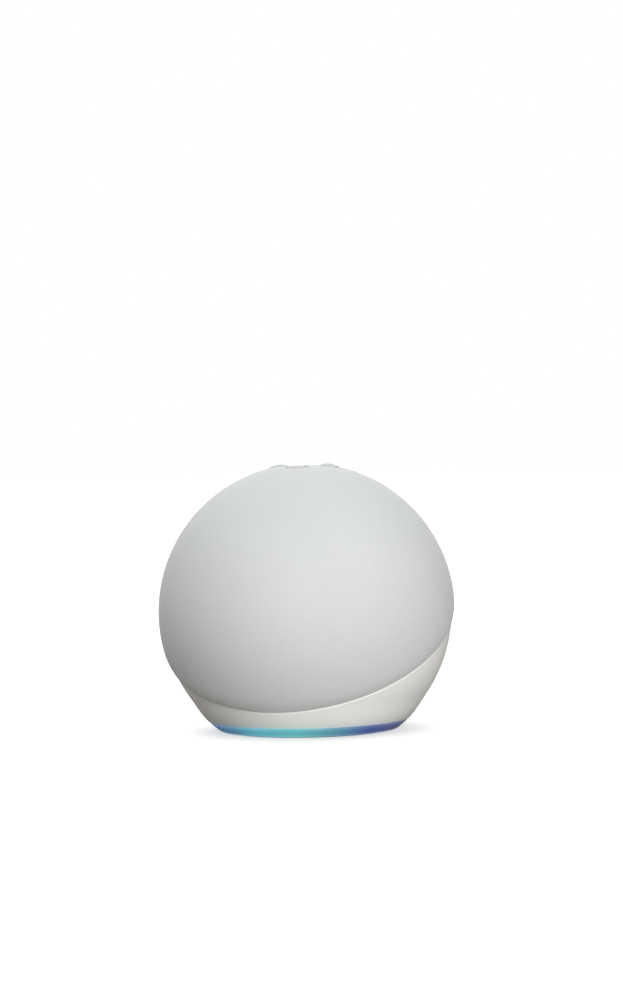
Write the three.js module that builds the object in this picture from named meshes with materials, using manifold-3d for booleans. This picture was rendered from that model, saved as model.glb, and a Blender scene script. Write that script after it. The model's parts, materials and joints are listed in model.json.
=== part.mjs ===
// A spherical tabletop smart speaker, about 100 mm across and 90 mm tall.
// Millimetres, +Z up, front towards -Y. The origin is the centre of the foot, on the table.
import * as THREE from "three";
import { mergeVertices } from "three/addons/utils/BufferGeometryUtils.js";
import Module from "manifold-3d";

const wasm = await Module();
wasm.setup();

// ---------- driving dimensions ----------
const GAP = 0.3; // between pieces that touch
const BALL_RADIUS = 50; // outside of the fabric
const BALL_HEIGHT = 40; // centre of the ball above the table
const TOP_FLAT = 0.7; // how far the top is pressed in under the buttons
const TOP_FLAT_ANGLE = THREE.MathUtils.degToRad(20); // where the pressed area ends
const BASE_SWELL = 0.8; // the ball is a little fuller round its foot
const SWELL_START = THREE.MathUtils.degToRad(125); // polar angles over which it swells
const SWELL_END = THREE.MathUtils.degToRad(137);
const SEAM_TILT = THREE.MathUtils.degToRad(31); // the seam rises towards the back
const SEAM_OFFSET = -6.2; // of the seam's plane from the ball's centre
const SEAM_GAP = 0.7; // the open groove between fabric and plastic

const FABRIC_THICKNESS = 0.8;
const SHELL_THICKNESS = 2;
const REAR_INSET = 1.1; // the plastic stands back from the fabric
const FRONT_INSET = FABRIC_THICKNESS + GAP;
const RIM_THICKNESS = 1.2; // of the tongue that centres the two shells
const RIM_REACH = 2; // of the tongue past the seam, and of its root below it

const RING_TOP = 3.2;
const RING_BOTTOM = 0.4;
const RING_INNER = 28.4;
const RING_TONGUE = { radius: 32.2, top: 6.4 };
const FOOT = { radius: 27.8, thickness: 1.2, dish: 20, dishDepth: 0.4 };
const LEDGE = { bottom: 9.5, top: 11.5, inner: 20 };
const BOSS = { count: 4, circle: 22, radius: 2.6, top: 15, pilot: 1.15 };
const BASE = { radius: RING_INNER - GAP, bottom: FOOT.thickness + GAP, top: 3.4 };
const LUG = 2.4; // thickness of the sound box's lugs
const POST = { x: 29, y: 5, radius: 2.8, top: 29.7 }; // carries the sound box's lugs

const LED = { count: 6, circle: 30.6, length: 3, width: 2, height: 0.8 };
const LED_BOARD = { inner: 27.3, outer: 31.8, bottom: 8, top: 9.2 };

const BOARD = { radius: 25.5, bottom: BOSS.top + GAP, thickness: 1.6, tab: 16, reach: 37 };
const BOARD_TOP = BOARD.bottom + BOARD.thickness;
// The inlet is a square with round corners: half widths of the hole and of the way in.
const PORT = { height: 21.7, hole: 5.6, holeCorner: 1.8, opening: 4.3, openingCorner: 0.8 };
const STOP = { reach: 13, leg: 4, front: 26.2, back: 27.7, top: 26 }; // wall behind the inlet
const JACK = { width: 9, back: 28, front: 40, height: 9, bore: 2.75, pin: 0.95 };

const BOX_HEIGHT = 47; // the speaker's axis above the table
const BOX = { radius: 26, wall: 1.8, front: -28.5, joint: -1.15, rear: 24, mouth: 20.4 };
const DRIVER = { flange: 25, back: -28.8, thickness: 1.6, opening: 19.9, screws: 22.4 };

const BUTTON = { circle: 8.2, radius: 3.9, hole: 4.2, raised: 89.8, flush: 89.3 };
const BUTTON_BOARD = { radius: 14, top: 78.3, thickness: 1.2 };
const CARRIER = { radius: 17, bottom: 81.2, top: 82.3, guide: 2 };

const SLEEK = 36; // facets round a large circle
const BOX_FACETS = 28; // round the sound box
const RINGS = 18; // facets from pole to pole of the ball
const SMALL = 10; // facets round a small circle

// ---------- helpers ----------
// A closed geometry as a solid that can be joined and cut.
function solid(geometry) {
  const bare = geometry.index ? geometry.toNonIndexed() : geometry.clone();
  bare.deleteAttribute("normal");
  bare.deleteAttribute("uv");
  const merged = mergeVertices(bare, 1e-4);
  const triVerts = new Uint32Array(merged.index.array);
  const vertProperties = merged.attributes.position.array;
  return new wasm.Manifold(new wasm.Mesh({ numProp: 3, vertProperties, triVerts }));
}

// A solid back as a geometry.
function geometryOf(body) {
  const mesh = body.getMesh();
  const points = new Float32Array(mesh.numVert * 3);
  for (let i = 0; i < mesh.numVert; i++) {
    points.set(mesh.vertProperties.subarray(i * mesh.numProp, i * mesh.numProp + 3), i * 3);
  }
  const geometry = new THREE.BufferGeometry();
  geometry.setAttribute("position", new THREE.BufferAttribute(points, 3));
  geometry.setIndex(new THREE.BufferAttribute(new Uint32Array(mesh.triVerts), 1));
  geometry.computeVertexNormals();
  return geometry;
}

const joined = (first, ...others) => others.reduce((all, one) => all.add(one), first);
const cut = (first, ...others) => others.reduce((all, one) => all.subtract(one), first);

// A profile of [radius, distance along the axis], anticlockwise, turned about Y.
function turned(profile, facets = SLEEK) {
  const points = profile.map(([r, along]) => new THREE.Vector2(r, along));
  const closed = profile[0][0] > 0 || profile[profile.length - 1][0] > 0;
  if (closed) points.push(points[0].clone());
  return new THREE.LatheGeometry(points, facets);
}

// The same, turned about Z.
const turnedUp = (profile, facets = SLEEK) => turned(profile, facets).rotateX(Math.PI / 2);

// A round tube or disc about Z.
function disc(radius, bottom, top, facets = SMALL) {
  const height = top - bottom;
  return new THREE.CylinderGeometry(radius, radius, height, facets)
    .rotateX(Math.PI / 2)
    .translate(0, 0, bottom + height / 2);
}

// A block from its lowest to its highest corner.
function block([x0, y0, z0], [x1, y1, z1]) {
  return new THREE.BoxGeometry(x1 - x0, y1 - y0, z1 - z0).translate(
    (x0 + x1) / 2,
    (y0 + y1) / 2,
    (z0 + z1) / 2,
  );
}

// A square prism with round corners, from a distance behind the axis out past the ball.
function inletPrism(half, corner, start) {
  const flat = half - corner;
  const shape = new THREE.Shape();
  shape.absarc(flat, flat, corner, 0, Math.PI / 2);
  shape.absarc(-flat, flat, corner, Math.PI / 2, Math.PI);
  shape.absarc(-flat, -flat, corner, Math.PI, 1.5 * Math.PI);
  shape.absarc(flat, -flat, corner, 1.5 * Math.PI, 2 * Math.PI);
  const depth = BALL_RADIUS + 10 - start;
  return new THREE.ExtrudeGeometry(shape, { depth, curveSegments: 4, bevelEnabled: false })
    .rotateX(Math.PI / 2)
    .translate(0, start + depth, PORT.height);
}

// A section [[x, y], ...] swept along points.
function swept(section, points, steps) {
  const shape = new THREE.Shape(section.map(([x, y]) => new THREE.Vector2(x, y)));
  const extrudePath = new THREE.CatmullRomCurve3(points.map((p) => new THREE.Vector3(...p)));
  return new THREE.ExtrudeGeometry(shape, { steps, extrudePath, bevelEnabled: false });
}

const rectangle = (w, h) => [
  [-w / 2, -h / 2],
  [w / 2, -h / 2],
  [w / 2, h / 2],
  [-w / 2, h / 2],
];

const polygon = (radius, sides) =>
  Array.from({ length: sides }, (_, i) => {
    const turn = (i / sides) * 2 * Math.PI;
    return [radius * Math.cos(turn), radius * Math.sin(turn)];
  });

// Places evenly spaced on a circle, from a first angle in degrees.
const around = (count, radius, first = 0) =>
  Array.from({ length: count }, (_, i) => {
    const turn = THREE.MathUtils.degToRad(first + (i * 360) / count);
    return [radius * Math.cos(turn), radius * Math.sin(turn)];
  });

// The ball's radius at a polar angle: round, its top pressed nearly flat and its foot swelled.
function ballRadius(polar, inset) {
  const share = Math.min(polar / TOP_FLAT_ANGLE, 1);
  const swell = BASE_SWELL * THREE.MathUtils.smoothstep(polar, SWELL_START, SWELL_END);
  return BALL_RADIUS - inset + swell - TOP_FLAT * (1 - share * share) ** 2;
}

function ball(inset) {
  const profile = Array.from({ length: RINGS + 1 }, (_, i) => {
    const polar = Math.PI * (1 - i / RINGS);
    const radius = ballRadius(polar, inset);
    const onAxis = i === 0 || i === RINGS;
    return [onAxis ? 0 : radius * Math.sin(polar), radius * Math.cos(polar)];
  });
  return solid(turnedUp(profile).translate(0, 0, BALL_HEIGHT));
}

// The wall that holds the inlet against a plug's push. The board's tab passes under it.
function inletStop() {
  const { reach, leg, front, back, top } = STOP;
  return joined(
    solid(block([-reach, front, BOARD_TOP + GAP], [reach, back, top])),
    solid(block([-reach, front, LEDGE.bottom], [leg - reach, back, top])),
    solid(block([reach - leg, front, LEDGE.bottom], [reach, back, top])),
  );
}

// Everything on one side of a plane parallel to the seam.
function seamSide(offset, above) {
  const size = 4 * BALL_RADIUS;
  const middle = offset + (above ? size / 2 : -size / 2);
  const side = new THREE.BoxGeometry(size, size, size).translate(0, 0, middle);
  return solid(side.rotateX(SEAM_TILT).translate(0, 0, BALL_HEIGHT));
}

const part = new THREE.Group();

function add(name, geometry, finish) {
  const mesh = new THREE.Mesh(geometry, new THREE.MeshStandardMaterial(finish));
  mesh.name = name;
  part.add(mesh);
  return mesh;
}

// ---------- finishes ----------
const knit = { color: 0xd9dbdd, roughness: 0.95 };
const shellPlastic = { color: 0xd6d5d2, roughness: 0.45 };
const innerPlastic = { color: 0x2b2c2e, roughness: 0.6 };
const diffuser = { color: 0x58b8c8, roughness: 0.3, emissive: 0x1e6fd0 };
const rubber = { color: 0x8d8f90, roughness: 0.9 };
const softBlack = { color: 0x17181a, roughness: 0.85 };
const boardGreen = { color: 0x1d4a36, roughness: 0.5 };
const steel = { color: 0xa9abae, roughness: 0.35, metalness: 1 };
const aluminium = { color: 0xbfc1c4, roughness: 0.4, metalness: 1 };
const ferrite = { color: 0x2f2f31, roughness: 0.7 };
const paper = { color: 0x1c1d1f, roughness: 0.9 };
const copper = { color: 0xb66a3c, roughness: 0.4, metalness: 1 };
const ledWhite = { color: 0xf4f2e2, roughness: 0.4 };
const polyimide = { color: 0xb5702a, roughness: 0.5 };

// ---------- outer shells ----------
const buttonPlaces = around(4, BUTTON.circle);
const buttonHoles = buttonPlaces.map(([x, y]) =>
  solid(disc(BUTTON.hole, 70, 100, 16).translate(x, y, 0)),
);

function fabricCover() {
  const skin = ball(0).subtract(ball(FABRIC_THICKNESS));
  return geometryOf(cut(skin.intersect(seamSide(SEAM_OFFSET + SEAM_GAP / 2, true)), ...buttonHoles));
}

// Sound holes through the front, in rings about the speaker's axis.
function soundHoles() {
  const holes = [];
  for (let ring = 0; ring < 3; ring++) {
    for (const [x, z] of around(ring ? ring * 6 : 1, ring * 8.5, ring * 15)) {
      const hole = new THREE.CylinderGeometry(2.8, 2.8, 30, 6);
      holes.push(solid(hole.translate(x, -BALL_RADIUS + 5, BOX_HEIGHT - 2 + z)));
    }
  }
  return holes;
}

function frontShell() {
  const wall = ball(FRONT_INSET).subtract(ball(FRONT_INSET + SHELL_THICKNESS));
  const half = wall.intersect(seamSide(SEAM_OFFSET + SEAM_GAP / 2, true));
  return geometryOf(cut(half, ...buttonHoles, ...soundHoles()));
}

function rearShell() {
  const below = seamSide(SEAM_OFFSET - SEAM_GAP / 2, false);
  const wall = ball(REAR_INSET).intersect(below).subtract(ball(REAR_INSET + SHELL_THICKNESS));
  const middle = ball(REAR_INSET + SHELL_THICKNESS / 2);
  const rimBottom = SEAM_OFFSET - 2 * RIM_REACH;
  const root = middle
    .intersect(seamSide(SEAM_OFFSET - RIM_REACH, false))
    .intersect(seamSide(rimBottom, true));
  const tongue = ball(FRONT_INSET + SHELL_THICKNESS + GAP)
    .intersect(seamSide(SEAM_OFFSET + RIM_REACH, false))
    .intersect(seamSide(rimBottom + RIM_REACH / 2, true));
  const rim = root.add(tongue).subtract(ball(FRONT_INSET + SHELL_THICKNESS + GAP + RIM_THICKNESS));
  const ledge = solid(disc(BALL_RADIUS, LEDGE.bottom, LEDGE.top, SLEEK))
    .intersect(middle)
    .intersect(seamSide(rimBottom + RIM_REACH / 2, false))
    .subtract(solid(disc(LEDGE.inner, 0, BOSS.top, SLEEK)));
  const bosses = around(BOSS.count, BOSS.circle, 45).map(([x, y]) =>
    solid(disc(BOSS.radius, LEDGE.bottom, BOSS.top).translate(x, y, 0)),
  );
  const posts = [POST.x, -POST.x].map((x) =>
    solid(disc(POST.radius, LEDGE.bottom, POST.top).translate(x, POST.y, 0)),
  );
  const pilots = around(BOSS.count, BOSS.circle, 45).map(([x, y]) =>
    solid(disc(BOSS.pilot, 0, BALL_HEIGHT).translate(x, y, 0)),
  );
  const postPilots = [POST.x, -POST.x].map((x) =>
    solid(disc(BOSS.pilot, POST.top - 9, BALL_HEIGHT).translate(x, POST.y, 0)),
  );
  const ringSeat = solid(disc(RING_TONGUE.radius + GAP, 0, RING_TONGUE.top + GAP, SLEEK));
  const bottom = solid(disc(BALL_RADIUS, -20, RING_TOP + GAP, SLEEK));
  const port = solid(inletPrism(PORT.hole, PORT.holeCorner, JACK.front - 1));
  const whole = joined(wall, rim, ledge, inletStop(), ...bosses, ...posts);
  return geometryOf(cut(whole, bottom, ringSeat, port, ...pilots, ...postPilots));
}

add("fabric_cover", fabricCover(), knit);
add("front_shell", frontShell(), innerPlastic);
add("rear_shell", rearShell(), shellPlastic);

// ---------- base: light ring, plate, foot ----------
// Radius of the ball's foot at a height above the table, where its swell is whole.
const footRadius = (height) =>
  Math.sqrt((BALL_RADIUS - REAR_INSET + BASE_SWELL) ** 2 - (BALL_HEIGHT - height) ** 2);

function lightRing() {
  const steps = 4;
  const outside = Array.from({ length: steps + 1 }, (_, i) => {
    const share = i / steps;
    const height = RING_BOTTOM + (RING_TOP - RING_BOTTOM) * share;
    return [footRadius(height), height];
  });
  return turnedUp([
    [RING_INNER, RING_BOTTOM],
    ...outside,
    [RING_TONGUE.radius, RING_TOP],
    [RING_TONGUE.radius, RING_TONGUE.top],
    [RING_INNER, RING_TONGUE.top],
  ]);
}

function basePlate() {
  const plate = solid(disc(BASE.radius, BASE.bottom, BASE.top, SLEEK));
  const places = around(BOSS.count, BOSS.circle, 45);
  const tubes = places.map(([x, y]) =>
    solid(disc(BOSS.radius, BASE.bottom, LEDGE.bottom - GAP).translate(x, y, 0)),
  );
  const holes = places.flatMap(([x, y]) => [
    solid(disc(1.5, 0, LEDGE.top).translate(x, y, 0)),
    solid(disc(2.3, 0, BASE.bottom + 1.4).translate(x, y, 0)),
  ]);
  return geometryOf(cut(joined(plate, ...tubes), ...holes));
}

function footPad() {
  const { radius, thickness, dish, dishDepth } = FOOT;
  return turnedUp([
    [0, dishDepth],
    [dish, dishDepth],
    [dish + dishDepth, 0],
    [radius - 0.3, 0],
    [radius, 0.3],
    [radius, thickness],
    [0, thickness],
  ]);
}

add("light_ring", lightRing(), diffuser);
add("base_plate", basePlate(), innerPlastic);
add("foot_pad", footPad(), rubber);

// ---------- screws ----------
// A pan-head screw along Z, head up, with a six-sided socket. Its head rests at z = 0.
function screw(shaft, length, head = 1.9) {
  const blank = turnedUp(
    [
      [0, -length],
      [shaft, -length],
      [shaft, 0],
      [head, 0],
      [head, 0.8],
      [head * 0.7, 1.2],
      [0, 1.2],
    ],
    8,
  );
  const socket = new THREE.CylinderGeometry(0.9, 0.9, 1.4, 6).rotateX(Math.PI / 2).translate(0, 0, 1.2);
  return geometryOf(cut(solid(blank), solid(socket)));
}

around(BOSS.count, BOSS.circle, 45).forEach(([x, y], i) => {
  const low = add(`base_screw_${i + 1}`, screw(0.85, 9.5), steel);
  low.rotation.x = Math.PI;
  low.position.set(x, y, BASE.bottom + 1.4 - GAP);
  const high = add(`board_screw_${i + 1}`, screw(0.85, 3.6), steel);
  high.position.set(x, y, BOARD_TOP + GAP);
});
[POST.x, -POST.x].forEach((x, i) => {
  const pin = add(`enclosure_screw_${i + 1}`, screw(0.85, 8), steel);
  pin.position.set(x, POST.y, POST.top + LUG + 2 * GAP);
});

// ---------- light: ring board, LEDs, ribbon ----------
function ledBoard() {
  const { inner, outer, bottom, top } = LED_BOARD;
  return turnedUp([
    [inner, bottom],
    [outer, bottom],
    [outer, top],
    [inner, top],
  ]);
}

add("led_board", ledBoard(), boardGreen);
around(LED.count, LED.circle, 0).forEach(([x, y], i) => {
  const led = add(`led_${i + 1}`, new THREE.BoxGeometry(LED.width, LED.length, LED.height), ledWhite);
  led.position.set(x, y, LED_BOARD.bottom - GAP - LED.height / 2);
  led.rotation.z = Math.atan2(y, x);
});
add(
  "led_ribbon",
  swept(
    rectangle(5, 0.25),
    [
      [0, -28.8, 7.4],
      [0, -25, 7],
      [0, -20.5, 7.6],
      [0, -17.6, 10],
      [0, -17.2, 12.6],
      [0, -17.2, BOARD.bottom - GAP],
    ],
    14,
  ),
  polyimide,
);

// ---------- main board and power inlet ----------
function mainBoard() {
  const round = solid(disc(BOARD.radius, BOARD.bottom, BOARD_TOP, 32));
  const tab = solid(
    block([-BOARD.tab / 2, 0, BOARD.bottom], [BOARD.tab / 2, BOARD.reach, BOARD_TOP]),
  );
  const holes = around(BOSS.count, BOSS.circle, 45).map(([x, y]) =>
    solid(disc(1.2, 0, BALL_HEIGHT).translate(x, y, 0)),
  );
  return geometryOf(cut(joined(round, tab), ...holes));
}

function powerJack() {
  const low = BOARD_TOP + GAP;
  const body = solid(
    block([-JACK.width / 2, JACK.back, low], [JACK.width / 2, JACK.front, low + JACK.height]),
  );
  const bore = new THREE.CylinderGeometry(JACK.bore, JACK.bore, 20, 20);
  return geometryOf(body.subtract(solid(bore.translate(0, JACK.back + 12, PORT.height))));
}

function jackPin() {
  return turned(
    [
      [0, JACK.back + 2.4],
      [JACK.pin, JACK.back + 2.4],
      [JACK.pin, JACK.front - 2],
      [JACK.pin * 0.6, JACK.front - 1.2],
      [0, JACK.front - 1.2],
    ],
    10,
  ).translate(0, 0, PORT.height);
}

function portBezel() {
  const start = JACK.front + GAP;
  const outside = solid(inletPrism(PORT.hole - GAP, PORT.holeCorner - GAP, start));
  const wayIn = solid(inletPrism(PORT.opening, PORT.openingCorner, start - 1));
  return geometryOf(cut(outside.intersect(ball(REAR_INSET)), wayIn));
}

function heatSink() {
  const low = BOARD_TOP + 2.6 + GAP;
  const plate = solid(block([-24, -19, low], [24, -1, low + 0.8]));
  const fins = [];
  for (const side of [-1, 1]) {
    for (let i = 0; i < 3; i++) {
      const middle = side * (18.5 + i * 2.5);
      fins.push(solid(block([middle - 0.5, -19, low + 0.5], [middle + 0.5, -1, low + 4.6])));
    }
  }
  return geometryOf(joined(plate, ...fins));
}

add("main_board", mainBoard(), boardGreen);
add("power_jack", powerJack(), softBlack);
add("jack_pin", jackPin(), steel);
add("port_bezel", portBezel(), softBlack);
add("shield_can", block([-10, -17, BOARD_TOP + GAP], [10, -3, BOARD_TOP + 2.6]), steel);
add("heat_sink", heatSink(), aluminium);
add("capacitor", disc(3, BOARD_TOP + GAP, BOARD_TOP + 7, 16).translate(16, 8, 0), aluminium);
add("choke", block([-19, 5, BOARD_TOP + GAP], [-12, 12, BOARD_TOP + 4]), ferrite);

// ---------- sound box ----------
function enclosureFront() {
  const { radius, wall, front, joint, mouth } = BOX;
  const can = turned(
    [
      [mouth, front],
      [radius, front],
      [radius, joint],
      [radius - wall, joint],
      [radius - wall, front + wall],
      [mouth, front + wall],
    ],
    BOX_FACETS,
  );
  const holes = around(4, DRIVER.screws, 45).map(([x, z]) =>
    solid(new THREE.CylinderGeometry(1.15, 1.15, 12, SMALL).translate(x, front, z)),
  );
  return geometryOf(cut(solid(can), ...holes)).translate(0, 0, BOX_HEIGHT);
}

// A quarter round from the side to the end of the box, as [radius, along].
const boxCorner = (side, end, size) =>
  Array.from({ length: 4 }, (_, i) => {
    const turn = (i / 3) * (Math.PI / 2);
    return [side - size * (1 - Math.cos(turn)), end - size * (1 - Math.sin(turn))];
  });

function enclosureRear() {
  const start = BOX.joint + 1.2;
  const inner = BOX.radius - BOX.wall;
  const cup = turned(
    [
      [inner, start],
      [BOX.radius, start],
      ...boxCorner(BOX.radius, BOX.rear, 14),
      [0, BOX.rear],
      [0, BOX.rear - BOX.wall],
      ...boxCorner(inner, BOX.rear - BOX.wall, 12.2).reverse(),
    ],
    BOX_FACETS,
  );
  const lugs = [POST.x, -POST.x].map((x) => {
    const low = POST.top + GAP - BOX_HEIGHT;
    const from = Math.min(Math.sign(x) * 18, Math.sign(x) * 32.5);
    return solid(block([from, POST.y - 4, low], [from + 14.5, POST.y + 4, low + LUG]));
  });
  const inside = solid(new THREE.CylinderGeometry(inner, inner, 12, BOX_FACETS).translate(0, POST.y, 0));
  const screwHoles = [POST.x, -POST.x].map((x) => solid(disc(1.2, -40, 0).translate(x, POST.y, 0)));
  const leadHole = solid(disc(2.2, -40, 0).translate(0, 8, 0));
  const whole = joined(solid(cup), ...lugs.map((lug) => lug.subtract(inside)));
  return geometryOf(cut(whole, ...screwHoles, leadHole)).translate(0, 0, BOX_HEIGHT);
}

function enclosureGasket() {
  const low = BOX.joint + GAP;
  const high = BOX.joint + 1.2 - GAP;
  return turned(
    [
      [BOX.radius - BOX.wall + 0.2, low],
      [BOX.radius - 0.2, low],
      [BOX.radius - 0.2, high],
      [BOX.radius - BOX.wall + 0.2, high],
    ],
    BOX_FACETS,
  ).translate(0, 0, BOX_HEIGHT);
}

add("enclosure_front", enclosureFront(), innerPlastic);
add("enclosure_rear", enclosureRear(), innerPlastic);
add("enclosure_gasket", enclosureGasket(), softBlack);

// ---------- speaker driver, on an axis along Y ----------
const DRIVER_FACETS = 20;
const onAxis = (profile, facets = DRIVER_FACETS) =>
  turned(profile, facets).translate(0, 0, BOX_HEIGHT);

function driverBasket() {
  const { flange, back, thickness, opening, screws } = DRIVER;
  const body = turned(
    [
      [opening - 1.2, back],
      [12, -17.4],
      [8.6, -17.4],
      [8.6, -16],
      [13, -16],
      [opening, back + 0.4],
      [opening, back],
      [flange, back],
      [flange, back - thickness],
      [opening, back - thickness],
    ].reverse(),
    DRIVER_FACETS,
  );
  const windows = around(6, 16, 0).map(([x, z]) => {
    const window = new THREE.CylinderGeometry(2.6, 2.6, 7, 8);
    return solid(window.translate(x, -22.5, z));
  });
  const holes = around(4, screws, 45).map(([x, z]) =>
    solid(new THREE.CylinderGeometry(1.15, 1.15, 12, SMALL).translate(x, back, z)),
  );
  return geometryOf(cut(solid(body), ...windows, ...holes)).translate(0, 0, BOX_HEIGHT);
}

// A thin half-round roll with a flat lip, between the basket's flange and the cone's edge.
function surroundProfile() {
  const middle = 18.6;
  const face = DRIVER.back - DRIVER.thickness - GAP;
  const arc = (radius, from, to) =>
    Array.from({ length: 5 }, (_, i) => {
      const turn = from + (i / 4) * (to - from);
      return [middle + radius * Math.cos(turn), face + radius * Math.sin(turn)];
    });
  const lip = [
    [middle + 1.8, face - 0.5],
    [middle + 1.8, face],
  ];
  return [...arc(1.4, Math.PI, 1.88 * Math.PI), ...lip, ...arc(0.9, 2 * Math.PI, Math.PI)];
}

function spiderProfile() {
  const waves = 3;
  const zigzag = Array.from({ length: 2 * waves + 1 }, (_, i) => [
    6.7 + (i * 5.3) / (2 * waves),
    -19.4 + (i % 2) * 0.7,
  ]);
  const back = zigzag.map(([r, y]) => [r, y + 0.35]).reverse();
  return [...zigzag, ...back];
}

add("driver_basket", driverBasket(), steel);
add(
  "driver_top_plate",
  onAxis([
    [6.7, -15.7],
    [14, -15.7],
    [14, -13.2],
    [6.7, -13.2],
  ]),
  steel,
);
add(
  "driver_magnet",
  onAxis([
    [8, -12.9],
    [15.5, -12.9],
    [15.5, -7.9],
    [8, -7.9],
  ]),
  ferrite,
);
add(
  "driver_yoke",
  onAxis([
    [0, -15.9],
    [5.2, -15.9],
    [5.2, -7.6],
    [14.5, -7.6],
    [14.5, -5.4],
    [13.7, -4.6],
    [0, -4.6],
  ]),
  steel,
);
add(
  "driver_cone",
  onAxis([
    [6.6, -23.4],
    [11, -26.4],
    [16.6, -30.9],
    [16.9, -30.4],
    [11.2, -25.8],
    [6.6, -22.7],
  ]),
  paper,
);
add(
  "driver_dust_cap",
  onAxis([
    [0, -27.4],
    [3.6, -26.8],
    [6, -25.3],
    [6, -24.8],
    [3.5, -26.3],
    [0, -26.9],
  ]),
  paper,
);
add(
  "driver_coil",
  onAxis(
    [
      [5.6, -24.4],
      [6.2, -24.4],
      [6.2, -13],
      [5.6, -13],
    ],
    20,
  ),
  copper,
);
add("driver_surround", onAxis(surroundProfile()), softBlack);
add("driver_spider", onAxis(spiderProfile()), polyimide);
around(4, DRIVER.screws, 45).forEach(([x, z], i) => {
  const one = add(`driver_screw_${i + 1}`, screw(0.85, 5, 1.7), steel);
  one.rotation.x = Math.PI / 2;
  one.position.set(x, DRIVER.back - DRIVER.thickness - GAP, BOX_HEIGHT + z);
});
[-1, 1].forEach((side, i) => {
  const route = [
    [side * 2.6, -18.7, 31.6],
    [side * 2, -10, 26.5],
    [side * 1, 2, 25.6],
    [side * 0.9, 7.4, 23.6],
    [side * 0.9, 8, 21],
    [side * 1.6, 8.4, BOARD_TOP + GAP],
  ];
  add(`speaker_lead_${i + 1}`, swept(polygon(0.5, 5), route, 12), i ? softBlack : copper);
});

// ---------- top: buttons, snap domes, microphones ----------
const BOARD_LOW = BUTTON_BOARD.top - BUTTON_BOARD.thickness;
const STEM_LOW = BUTTON_BOARD.top + 1.3;

// One cap: a crown through the fabric, a flange that keeps it in, and a stem.
function buttonCap(top) {
  const { radius } = BUTTON;
  return turnedUp(
    [
      [0, STEM_LOW],
      [1.6, STEM_LOW],
      [1.6, 83.1],
      [radius + 0.7, 83.1],
      [radius + 0.7, 84],
      [radius, 84],
      [radius, top - 1.3],
      [radius - 0.3, top - 0.95],
      [radius - 1.5, top - 0.4],
      [0, top],
    ],
    14,
  );
}

// Frame that guides the stems and carries the button board on four legs.
function buttonCarrier() {
  const plate = solid(disc(CARRIER.radius, CARRIER.bottom, CARRIER.top, 28));
  const legs = around(4, 15.5, 45).map(([x, y]) =>
    solid(disc(1.2, BOARD_LOW, CARRIER.bottom + 0.5, 10).translate(x, y, 0)),
  );
  const guides = buttonPlaces.map(([x, y]) =>
    solid(disc(CARRIER.guide, 70, 100).translate(x, y, 0)),
  );
  return geometryOf(cut(joined(plate, ...legs), ...guides));
}

// A clear sheet with four metal snap domes.
function domeSheet() {
  const low = BUTTON_BOARD.top + GAP;
  const sheet = solid(disc(12.2, low, low + 0.2, 24));
  const domes = buttonPlaces.map(([x, y]) =>
    solid(new THREE.CylinderGeometry(1, 2.2, 0.45, 10).rotateX(Math.PI / 2).translate(x, y, low + 0.225)),
  );
  return geometryOf(joined(sheet, ...domes));
}

add("button_board", disc(BUTTON_BOARD.radius, BOARD_LOW, BUTTON_BOARD.top, 24), boardGreen);
add("button_carrier", buttonCarrier(), innerPlastic);
add("dome_sheet", domeSheet(), steel);
["volume_up_button", "mute_button", "volume_down_button", "action_button"].forEach((name, i) => {
  const [x, y] = buttonPlaces[i];
  const top = name.startsWith("volume") ? BUTTON.raised : BUTTON.flush;
  add(name, buttonCap(top), shellPlastic).position.set(x, y, 0);
});
[-1, 1].forEach((side, i) => {
  const mic = add(`microphone_${i + 1}`, new THREE.BoxGeometry(3.6, 2.8, 1), steel);
  mic.position.set(side * 7, -7, BOARD_LOW - GAP - 0.5);
});
add(
  "button_ribbon",
  swept(
    rectangle(6, 0.25),
    [
      [0, 8, BOARD_LOW - GAP - 0.2],
      [0, 18, BOARD_LOW - 1.4],
      [0, 28, 71],
      [0, 31, 60],
      [0, 30, 45],
      [0, 24.8, 27],
      [0, 21.3, BOARD_TOP + 2.4],
      [0, 20.5, BOARD_TOP + GAP + 0.1],
    ],
    20,
  ),
  polyimide,
);

export default part;
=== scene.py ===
"""A ball-shaped smart speaker: knit dome, plastic rear shell, glowing ring, press buttons."""
import json
import math

import bmesh
import bpy
from mathutils import Matrix, Vector


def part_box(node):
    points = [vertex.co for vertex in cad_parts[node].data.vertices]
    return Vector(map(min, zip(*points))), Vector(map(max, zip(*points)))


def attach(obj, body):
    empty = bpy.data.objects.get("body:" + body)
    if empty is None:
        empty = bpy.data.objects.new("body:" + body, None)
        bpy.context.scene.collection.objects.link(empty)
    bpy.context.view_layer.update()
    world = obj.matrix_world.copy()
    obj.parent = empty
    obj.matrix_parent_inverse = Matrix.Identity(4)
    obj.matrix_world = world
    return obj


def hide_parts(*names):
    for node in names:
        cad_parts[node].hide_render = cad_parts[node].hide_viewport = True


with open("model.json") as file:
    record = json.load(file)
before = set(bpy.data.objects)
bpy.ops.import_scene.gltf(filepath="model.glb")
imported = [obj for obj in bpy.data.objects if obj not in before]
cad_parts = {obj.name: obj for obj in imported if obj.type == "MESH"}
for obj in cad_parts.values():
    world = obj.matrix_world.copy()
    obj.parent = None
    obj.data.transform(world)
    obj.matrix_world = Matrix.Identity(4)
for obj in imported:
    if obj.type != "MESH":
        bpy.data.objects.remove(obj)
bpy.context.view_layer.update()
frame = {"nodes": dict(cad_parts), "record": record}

MM = 0.001


# ---------- sizes read from the CAD frame ----------
def corners(node):
    low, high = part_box(node)
    return Vector(low), Vector(high)


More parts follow.
